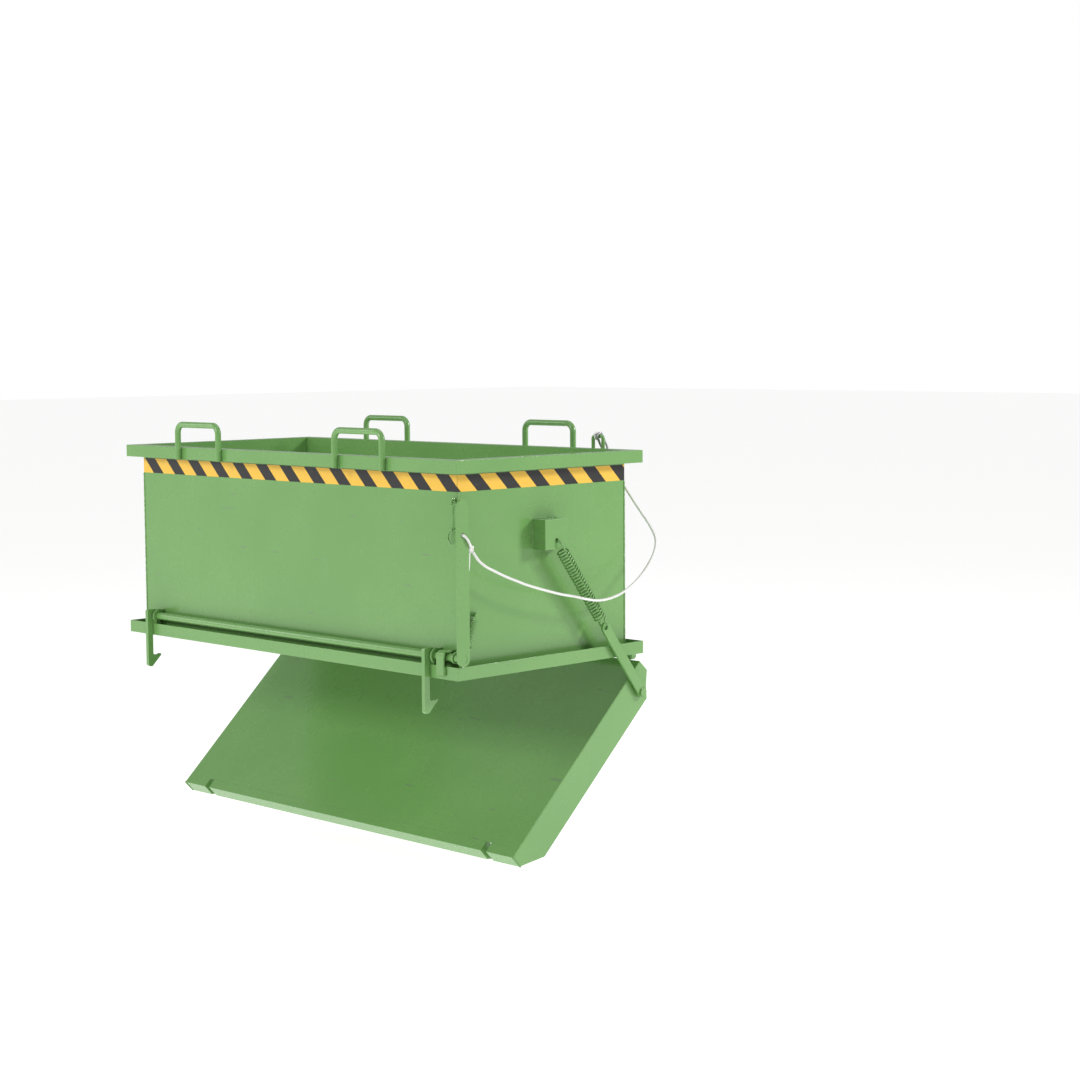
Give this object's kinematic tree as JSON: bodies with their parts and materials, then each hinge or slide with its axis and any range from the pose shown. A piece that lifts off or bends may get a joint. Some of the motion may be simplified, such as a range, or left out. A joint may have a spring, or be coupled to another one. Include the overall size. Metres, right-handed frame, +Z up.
{
  "type": "drop-bottom container",
  "caption": "Steel skip container that hangs on forklift tines by rod bails, with a hinged floor flap, sprung link bars, and a hooked lock shaft released by a roped lever.",
  "frame": {"origin": "middle of the top rim's upper plane, between the two fork channels, where the tines carry the container", "axes": "+Z up, -Y the front with the lock shaft, +Y towards the truck, +X to the side with the release lever"},
  "size_m": [1.765, 0.8963, 1.3419],
  "materials": {
    "paint": "satin",
    "tape": "satin",
    "steel": "satin",
    "rope": "matte"
  },
  "bodies": {
    "container": {"front_wall": "paint", "rear_wall": "paint", "left_wall": "paint", "right_wall": "paint", "top_rim_front": "paint", "top_rim_rear": "paint", "top_rim_left": "paint", "top_rim_right": "paint", "bottom_rim_front": "paint", "bottom_rim_rear": "paint", "bottom_rim_left": "paint", "bottom_rim_right": "paint", "bail_front_left": "paint", "bail_front_right": "paint", "bail_rear_left": "paint", "bail_rear_right": "paint", "hazard_tape": "tape", "spring_bracket_left": "paint", "spring_bracket_right": "paint", "bearing_left": "paint", "bearing_right": "paint", "shaft_keeper": "paint", "hinge_lugs": "paint", "hinge_pins": "paint", "spring_peg": "paint", "chain_eye": "paint", "chain_ring": "steel", "safety_chain": "steel", "snap_hook": "steel", "pin_lug": "paint", "pull_rope": "rope", "rope_hitch": "rope"},
    "flap": {"flap_plate": "paint", "flap_flange": "paint", "flap_cheek_left": "paint", "flap_cheek_right": "paint", "flap_ribs": "paint", "flap_hinge_ears": "paint", "catch_plates": "paint", "flap_catches": "paint", "link_pins": "paint", "link_spacers": "paint"},
    "lock": {"lock_shaft": "paint", "lock_hook_left": "paint", "lock_hook_right": "paint", "release_lever": "paint", "spring_arm": "paint", "rope_knot": "rope", "rope_loop": "rope"},
    "link_left": {"link_bar_left": "paint"},
    "link_right": {"link_bar_right": "paint"},
    "spring_left": {"main_spring_left": "paint"},
    "spring_right": {"main_spring_right": "paint"},
    "return_spring": {"return_spring": "paint"},
    "safety_pin": {"safety_pin": "paint", "safety_pin_ring": "paint"}
  },
  "joints": [
    {"name": "flap_hinge", "type": "hinge", "parent": "container", "child": "flap", "pos_m": [0, 0.416, -0.667], "axis": [-1, 0, 0], "range_deg": [0, 43.3], "deforming": ["main_spring_left", "main_spring_right"]},
    {"name": "link_left_turn", "type": "hinge", "parent": "flap", "child": "link_left", "pos_m": [-0.853, 0.3845, -0.77501], "axis": [1, 0, 0], "range_deg": [0, 41.17]},
    {"name": "link_right_turn", "type": "hinge", "parent": "flap", "child": "link_right", "pos_m": [0.853, 0.3845, -0.77501], "axis": [1, 0, 0], "range_deg": [0, 41.17]},
    {"name": "spring_left_swing", "type": "hinge", "parent": "container", "child": "spring_left", "pos_m": [-0.853, 0, -0.261], "axis": [-1, 0, 0], "range_deg": [0, 2.33]},
    {"name": "spring_right_swing", "type": "hinge", "parent": "container", "child": "spring_right", "pos_m": [0.853, 0, -0.261], "axis": [-1, 0, 0], "range_deg": [0, 2.33]},
    {"name": "lock_turn", "type": "hinge", "parent": "container", "child": "lock", "pos_m": [0, -0.387, -0.587], "axis": [-1, 0, 0], "range_deg": [0, 25], "stiffness_Nm_per_rad": 5, "springref_deg": -28.65, "deforming": ["return_spring", "pull_rope"]},
    {"name": "return_spring_swing", "type": "hinge", "parent": "container", "child": "return_spring", "pos_m": [0.813, -0.302, -0.466], "axis": [1, 0, 0], "range_deg": [0, 6.11]},
    {"name": "safety_pin_swing", "type": "hinge", "parent": "container", "child": "safety_pin", "pos_m": [0.794, -0.374, -0.122], "axis": [-1, 0, 0], "range_deg": [0, 70]}
  ],
  "couplings": [
    {"joint": "link_left_turn", "follows": "flap_hinge", "ratio": 0.94846},
    {"joint": "link_right_turn", "follows": "flap_hinge", "ratio": 0.94846},
    {"joint": "spring_left_swing", "follows": "flap_hinge", "ratio": 0.05154},
    {"joint": "spring_right_swing", "follows": "flap_hinge", "ratio": 0.05154},
    {"joint": "return_spring_swing", "follows": "lock_turn", "ratio": 0.24056}
  ]
}
